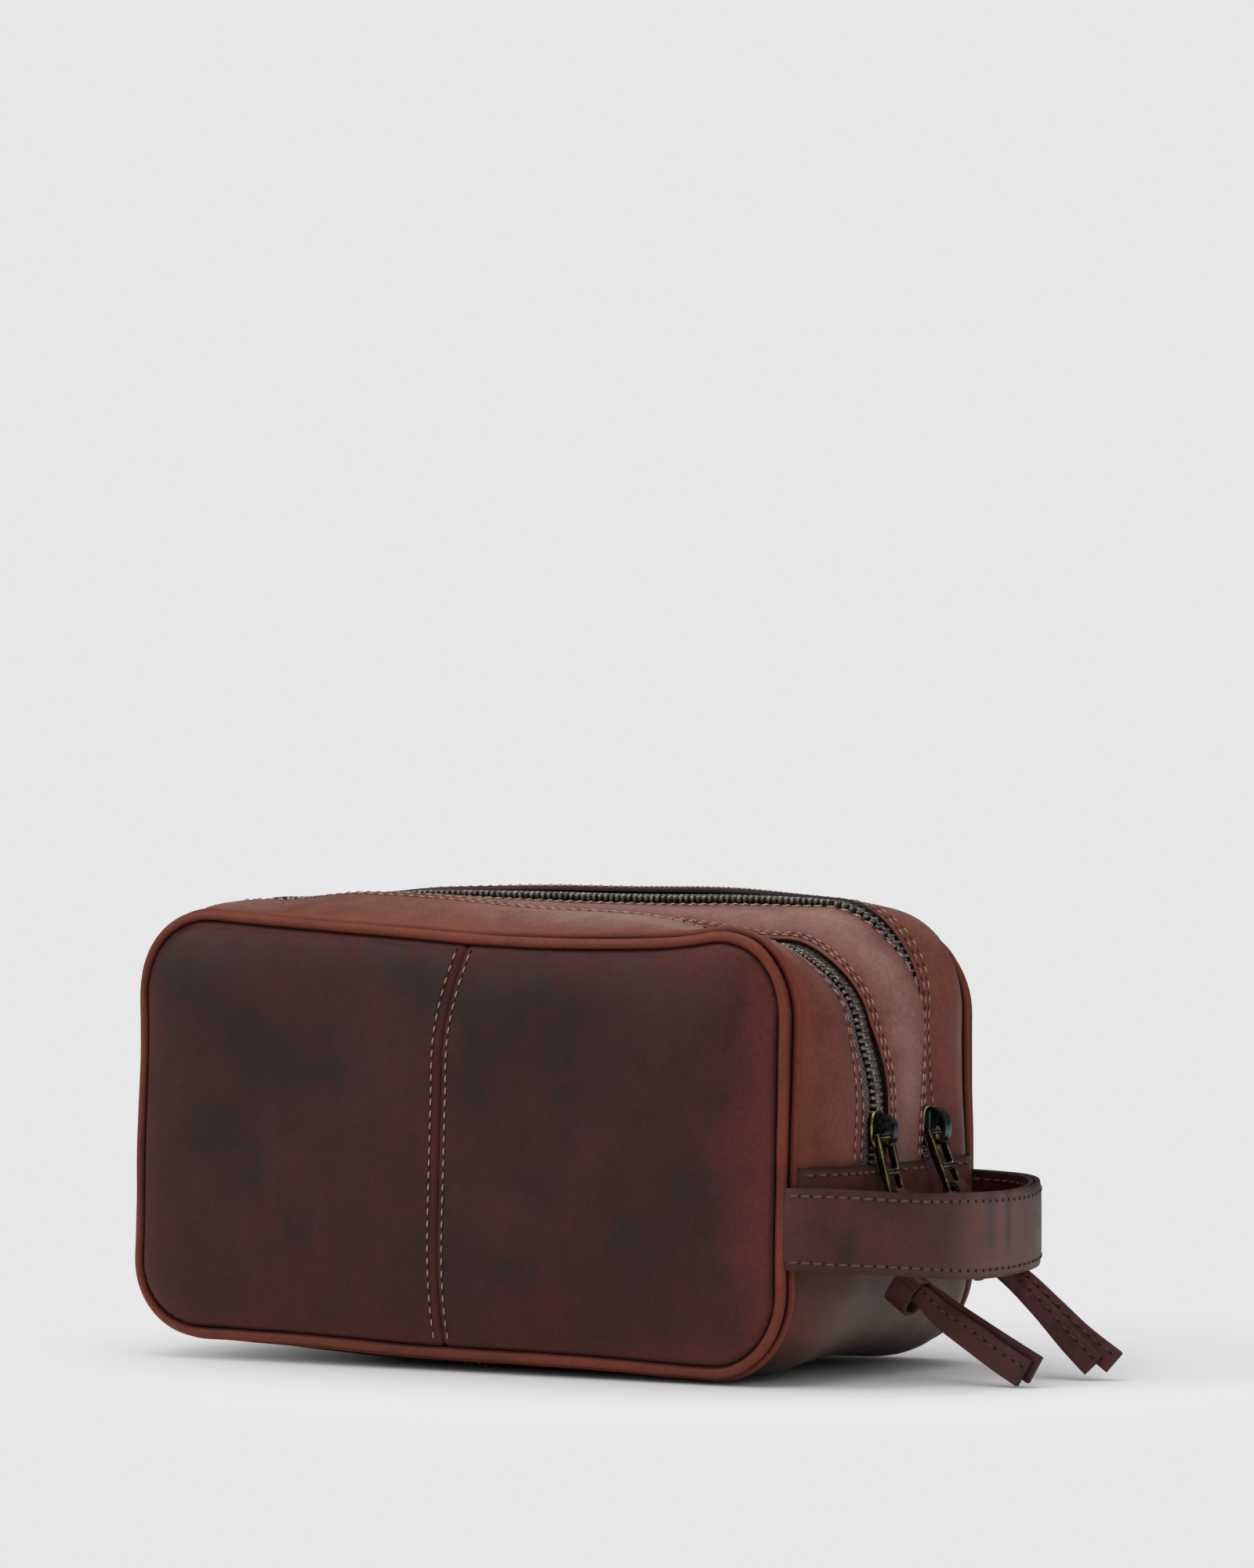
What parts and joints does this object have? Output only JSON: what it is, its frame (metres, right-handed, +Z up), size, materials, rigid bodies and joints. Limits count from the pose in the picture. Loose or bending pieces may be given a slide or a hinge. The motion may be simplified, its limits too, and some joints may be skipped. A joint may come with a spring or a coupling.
{
  "type": "shaving kit bag",
  "caption": "Brown leather shaving kit bag with two zipped compartments, leather zip pulls and a carrying handle on one end",
  "frame": {"origin": "The middle of the underside of the base, on the surface that the bag stands on", "axes": "+X to the end with the carrying handle, -Y to the front face, +Z up"},
  "size_m": [0.3361, 0.1358, 0.1535],
  "materials": {
    "face_leather": "dark brown pull-up leather, mottled",
    "gusset_leather": "reddish brown pull-up leather, grey-brown on the bends",
    "piping_leather": "reddish brown leather rolled over a cord, worn lighter",
    "strap_leather": "dark brown leather strap with dark cut edges",
    "lining_cloth": "brown woven cloth",
    "zip_tape_cloth": "dark brown woven tape",
    "zip_teeth_metal": "darkened antique metal",
    "hardware_brass": "antique brass, dark in the hollows and bright on the edges"
  },
  "bodies": {
    "root": {"centre_band": "gusset_leather", "base_panel_left": "gusset_leather", "base_panel_right": "gusset_leather", "divider_wall": "lining_cloth", "front_panel_left_lower": "face_leather", "front_panel_right_lower": "face_leather", "front_piping_lower": "piping_leather", "front_zip_teeth_inner": "zip_teeth_metal", "front_zip_tape_inner": "zip_tape_cloth", "front_compartment_lining": "lining_cloth", "rear_panel_left_lower": "face_leather", "rear_panel_right_lower": "face_leather", "rear_piping_lower": "piping_leather", "rear_zip_teeth_inner": "zip_teeth_metal", "rear_zip_tape_inner": "zip_tape_cloth", "rear_compartment_lining": "lining_cloth"},
    "handle": {"handle_outer_strap": "strap_leather", "handle_inner_strap": "strap_leather"},
    "front_flap": {"front_panel_left_upper": "face_leather", "front_panel_right_upper": "face_leather", "front_piping_upper": "piping_leather", "front_gusset": "gusset_leather", "front_zip_teeth_outer": "zip_teeth_metal", "front_zip_tape_outer": "zip_tape_cloth", "front_flap_lining": "lining_cloth"},
    "front_slider": {"front_slider": "hardware_brass", "front_slider_bridge": "hardware_brass"},
    "front_link": {"front_pull_link": "hardware_brass"},
    "front_pull": {"front_pull_strap": "strap_leather"},
    "rear_flap": {"rear_panel_left_upper": "face_leather", "rear_panel_right_upper": "face_leather", "rear_piping_upper": "piping_leather", "rear_gusset": "gusset_leather", "rear_zip_teeth_outer": "zip_teeth_metal", "rear_zip_tape_outer": "zip_tape_cloth", "rear_flap_lining": "lining_cloth"},
    "rear_slider": {"rear_slider": "hardware_brass", "rear_slider_bridge": "hardware_brass"},
    "rear_link": {"rear_pull_link": "hardware_brass"},
    "rear_pull": {"rear_pull_strap": "strap_leather"}
  },
  "joints": [
    {"name": "front_flap_fold", "type": "hinge", "parent": "root", "child": "front_flap", "pos_m": [0, -0.0685, 0.066], "axis": [1, 0, 0], "range_deg": [0, 35]},
    {"name": "front_zip_slide", "type": "slide", "parent": "root", "child": "front_slider", "axis": [0, 0, 1], "range_m": [0, 0.015]},
    {"name": "front_link_swing", "type": "hinge", "parent": "front_slider", "child": "front_link", "pos_m": [0.1359, -0.0175, 0.0787], "axis": [0, -1, 0], "range_deg": [-2, 2]},
    {"name": "front_pull_hang", "type": "hinge", "parent": "front_link", "child": "front_pull", "pos_m": [0.14083, -0.0175, 0.05891], "axis": [0, 1, 0], "range_deg": [-0.5, 7.5]},
    {"name": "rear_flap_fold", "type": "hinge", "parent": "root", "child": "rear_flap", "pos_m": [0, 0.0685, 0.066], "axis": [-1, 0, 0], "range_deg": [0, 35]},
    {"name": "rear_zip_slide", "type": "slide", "parent": "root", "child": "rear_slider", "axis": [0, 0, 1], "range_m": [0, 0.015]},
    {"name": "rear_link_swing", "type": "hinge", "parent": "rear_slider", "child": "rear_link", "pos_m": [0.1359, 0.0175, 0.0787], "axis": [0, -1, 0], "range_deg": [-4, 0]},
    {"name": "rear_pull_hang", "type": "hinge", "parent": "rear_link", "child": "rear_pull", "pos_m": [0.14338, 0.0175, 0.05972], "axis": [0, 1, 0], "range_deg": [-0.5, 24]},
    {"name": "handle_lift", "type": "hinge", "parent": "root", "child": "handle", "pos_m": [0.1255, 0, 0.0635], "axis": [0, -1, 0], "range_deg": [0, 20]}
  ],
  "couplings": [
    {"joint": "front_pull_hang", "follows": "front_zip_slide", "rad_per_m": 7.563},
    {"joint": "rear_pull_hang", "follows": "rear_zip_slide", "rad_per_m": 26.762}
  ]
}
